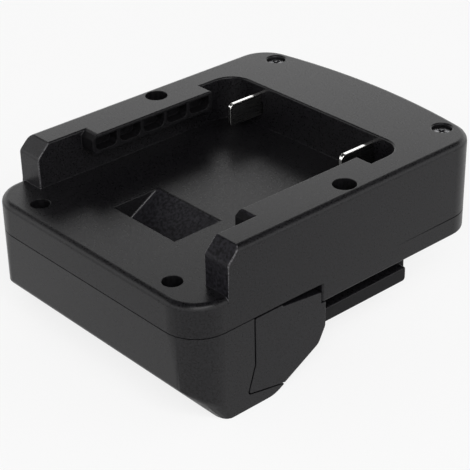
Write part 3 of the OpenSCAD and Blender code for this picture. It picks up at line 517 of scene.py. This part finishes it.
def score_seam(bm, upper):
    """Opens the seam between the shells to a fine score. Behind the buttons, where it lies in the upper shell,
    it is tight, and it opens towards the far end."""
    half, deepest = 0.12 * MM, 0.6 * MM
    apron_y, opens_y, open_y = -9.2 * MM, 12.5 * MM, 32.5 * MM
    whole = bm.faces.layers.float["whole"]
    cut(bm, bm.faces, (0, 0, SEAM_H + (half if upper else -half)), (0, 0, 1))
    if upper:
        for level in (0, -half):
            far = [face for face in bm.faces if any(v.co.y > opens_y for v in face.verts)]
            cut(bm, far, (0, 0, SEAM_H + level), (0, 0, 1))
        for y in (opens_y, open_y):
            strips = [face for face in bm.faces if all(on_seam(v.co, 1.01 * half) for v in face.verts)]
            cut(bm, strips, (0, y, 0), (0, 1, 0))
    bm.normal_update()
    moves = {}
    for vertex in bm.verts:
        out = sum((face.normal for face in vertex.link_faces if is_upright(face)), Vector()).normalized()
        share = 1 if vertex.co.y < apron_y else min((vertex.co.y - opens_y) / (open_y - opens_y), 1)
        if on_seam(vertex.co, SLIT) and share > 0 and out.length > 0:
            if CASE.ray_cast(vertex.co + out * LIFT, out)[0] is None:
                moves[vertex] = out * deepest * share
    for vertex, move in moves.items():
        vertex.co -= move
    sides = dict.fromkeys(face for vertex in moves for face in vertex.link_faces if is_upright(face))
    for face in bmesh.ops.triangulate(bm, faces=list(sides))["faces"]:
        face[whole] = face.calc_area()


def turned_normals(bm, large=1 / 6):
    """Normals for which large faces stay flat, and the bevels and round corners between them turn smoothly."""
    normals = {}
    whole = bm.faces.layers.float["whole"]
    areas = {face: face[whole] for face in bm.faces}
    for vertex in bm.verts:
        for fan in fans(vertex):
            least = large * max(areas[face] for face in fan)
            turn = sum((face.normal * areas[face] for face in fan if areas[face] > least), Vector())
            for face in fan:
                normals[face, vertex] = turn.normalized() if turn.length > 0 else vertex.normal
    return [normals[face, corner.vert] for face in bm.faces for corner in face.loops]


def weighted_copy(node):
    """A copy of a node's mesh whose edges say how far they are to be broken."""
    bm = bmesh.new()
    bm.from_mesh(nodes[node].data)
    bmesh.ops.remove_doubles(bm, verts=bm.verts, dist=MERGE)
    bmesh.ops.dissolve_limit(bm, angle_limit=math.radians(0.5), verts=bm.verts, edges=bm.edges)
    bm.normal_update()
    weight = bm.edges.layers.float.new("bevel_weight_edge")
    widths = {edge: edge_width(node, edge) for edge in bm.edges}
    even_runs(bm, widths)
    for edge in bm.edges:
        edge[weight] = widths[edge] / WIDEST
    mesh = bpy.data.meshes.new(node + "_soft")
    bm.to_mesh(mesh)
    bm.free()
    return mesh


def bevelled(piece):
    """A piece's mesh with its weighted edges broken."""
    bevel = piece.modifiers.new("soft edges", "BEVEL")
    bevel.limit_method, bevel.width, bevel.segments = "WEIGHT", WIDEST * MM, 3
    bevel.use_clamp_overlap = bevel.loop_slide = False
    bpy.context.view_layer.update()
    mesh = bpy.data.meshes.new_from_object(piece.evaluated_get(bpy.context.evaluated_depsgraph_get()))
    piece.modifiers.clear()
    return mesh


def softened(node):
    """A node's form with its edges broken, as a moulding or a stamped blank has them."""
    bm = bmesh.new()
    bm.from_mesh(nodes[node].data)
    form = BVHTree.FromBMesh(bm)
    bm.free()
    piece = stand_in(node, node + "_soft", weighted_copy(node), BODY_OF[node])
    piece.data = bevelled(piece)
    bm = bmesh.new()
    bm.from_mesh(piece.data)

    # Where a bevel runs out of room, its points go back on to the node's form
    stray = 0.35 * EDGE_WIDTHS[node] * MM
    for vertex in bm.verts:
        near, _, _, gap = form.find_nearest(vertex.co)
        if gap > stray:
            vertex.co = near
    bmesh.ops.remove_doubles(bm, verts=bm.verts, dist=MERGE)
    bmesh.ops.dissolve_degenerate(bm, dist=MERGE, edges=bm.edges)
    bmesh.ops.delete(bm, geom=[edge for edge in bm.edges if edge.is_wire], context="EDGES")
    bm.normal_update()
    refill(bm)
    close_slits(bm)
    if node in ("top_housing", "lower_housing"):
        score_seam(bm, upper=node == "top_housing")
    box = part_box(node)
    for vertex in bm.verts:
        vertex.co = [min(max(c, low), high) for c, low, high in zip(vertex.co, *box)]
    bm.normal_update()

    finishes = [SLOT_OF[node], *FINISHES.get(node, ())]
    for face in bm.faces:
        face.smooth = True
        face.material_index = finishes.index(finish_of(node, face))
    for edge in bm.edges:
        edge.smooth = edge.calc_face_angle(0) < TURN
    normals = turned_normals(bm)
    bm.faces.layers.float.remove(bm.faces.layers.float["whole"])
    bm.to_mesh(piece.data)
    bm.free()
    piece.data.normals_split_custom_set(normals)
    for finish in finishes[1:]:
        piece.data.materials.append(MATERIALS[finish])


def coil(side, sign):
    """A return spring of smooth round wire, wound across the span of its node."""
    node = f"button_spring_{side}"
    low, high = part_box(node)
    wire_r, turns, turn_rings, wire_sides = 0.35 * MM, 5, 48, 12
    inner, outer = sorted((abs(low[0]), abs(high[0])))
    radius = (high[2] - low[2]) / 2 - wire_r
    middle = Vector((0, (low[1] + high[1]) / 2, (low[2] + high[2]) / 2))
    along = Vector((sign, 0, 0))
    angles = [2 * math.pi * j / wire_sides for j in range(wire_sides)]
    bm = bmesh.new()
    rings = []
    for i in range(turns * turn_rings + 1):
        share = i / (turns * turn_rings)
        turn = 2 * math.pi * i / turn_rings
        outward = Vector((0, math.cos(turn), math.sin(turn)))
        centre = middle + outward * radius + along * (inner + wire_r + share * (outer - inner - 2 * wire_r))
        ring = [centre + wire_r * (outward * math.cos(a) + along * math.sin(a)) for a in angles]
        rings.append([bm.verts.new(point) for point in ring])
    for first, second in zip(rings, rings[1:]):
        for j in range(wire_sides):
            k = (j + 1) % wire_sides
            bm.faces.new((first[j], first[k], second[k], second[j])).smooth = True
    bm.faces.new(rings[0])
    bm.faces.new(rings[-1])
    bmesh.ops.recalc_face_normals(bm, faces=bm.faces)
    mesh = bpy.data.meshes.new(node + "_coil")
    bm.to_mesh(mesh)
    bm.free()
    piece = stand_in(node, node + "_coil", mesh, "housing")
    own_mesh(piece)


for node in EDGE_WIDTHS:
    softened(node)
for side, sign in (("left", -1), ("right", 1)):
    coil(side, sign)
for node in ("board_capacitor", "lead_positive", "lead_negative"):
    dress(nodes[node], SLOT_OF[node])


# Studio

def add_lamp(name, place, size, watts, aim=(0, 0, 0.02)):
    data = bpy.data.lights.new(name, "AREA")
    data.shape = "RECTANGLE"
    data.size, data.size_y = size
    data.energy = watts
    lamp = bpy.data.objects.new(name, data)
    lamp.location = place
    lamp.rotation_euler = (Vector(aim) - Vector(place)).to_track_quat("-Z", "Y").to_euler()
    scene.collection.objects.link(lamp)


def add_world():
    """White screens all round up to a third of the way overhead, under a dim ceiling."""
    world = bpy.data.worlds.new("studio")
    world.use_nodes = True
    scene.world = world
    tree = world.node_tree
    place = tree.nodes.new("ShaderNodeTexCoord")
    axes = tree.nodes.new("ShaderNodeSeparateXYZ")
    height = tree.nodes.new("ShaderNodeMapRange")
    for key, value in (("From Min", 0.48), ("From Max", 0.60), ("To Min", 1.65), ("To Max", 0.04)):
        height.inputs[key].default_value = value
    tree.links.new(place.outputs["Generated"], axes.inputs["Vector"])
    tree.links.new(axes.outputs["Z"], height.inputs["Value"])
    tree.links.new(height.outputs["Result"], tree.nodes["Background"].inputs["Strength"])
    tree.nodes["Background"].inputs["Color"].default_value = (1, 1, 1, 1)


def add_floor():
    """A white floor that keeps a faint shadow, and that gloss shows as the camera does."""
    camera_white, gloss_white = 0.8, 0.4  # the share of plain white, to the camera and in gloss
    mesh = bpy.data.meshes.new("floor")
    bm = bmesh.new()
    bmesh.ops.create_grid(bm, x_segments=1, y_segments=1, size=3)
    bm.to_mesh(mesh)
    bm.free()
    floor = bpy.data.objects.new("floor", mesh)
    scene.collection.objects.link(floor)
    n = Nodes("floor")
    n.set(Base_Color=n.tints(n.noise(4), (0.92, 0.92, 0.92), (0.94, 0.94, 0.94)), Roughness=0.9,
          Specular_IOR_Level=0.1)
    path = n.add("ShaderNodeLightPath").outputs

    def sums(operation, *values):
        return n.add("ShaderNodeMath", enumerate(values), operation=operation).outputs[0]

    seen = sums("MAXIMUM", path["Is Camera Ray"], path["Is Transmission Ray"])
    part = sums("MULTIPLY_ADD", path["Is Glossy Ray"], gloss_white, sums("MULTIPLY", seen, camera_white))
    white = n.add("ShaderNodeEmission", {"Color": (1, 1, 1, 1), "Strength": 1.0}).outputs["Emission"]
    both = n.add("ShaderNodeMixShader", {0: part, 1: n.shader.outputs["BSDF"], 2: white})
    n.tree.links.new(both.outputs["Shader"], n.tree.nodes["Material Output"].inputs["Surface"])
    mesh.materials.append(n.material)


add_camera()
add_world()
add_floor()
add_lamp("key", place=(0.75, -0.6, 0.9), size=(0.7, 0.7), watts=6)
add_lamp("right", place=(0.7, -0.1, 0.7), size=(0.3, 0.3), watts=2)
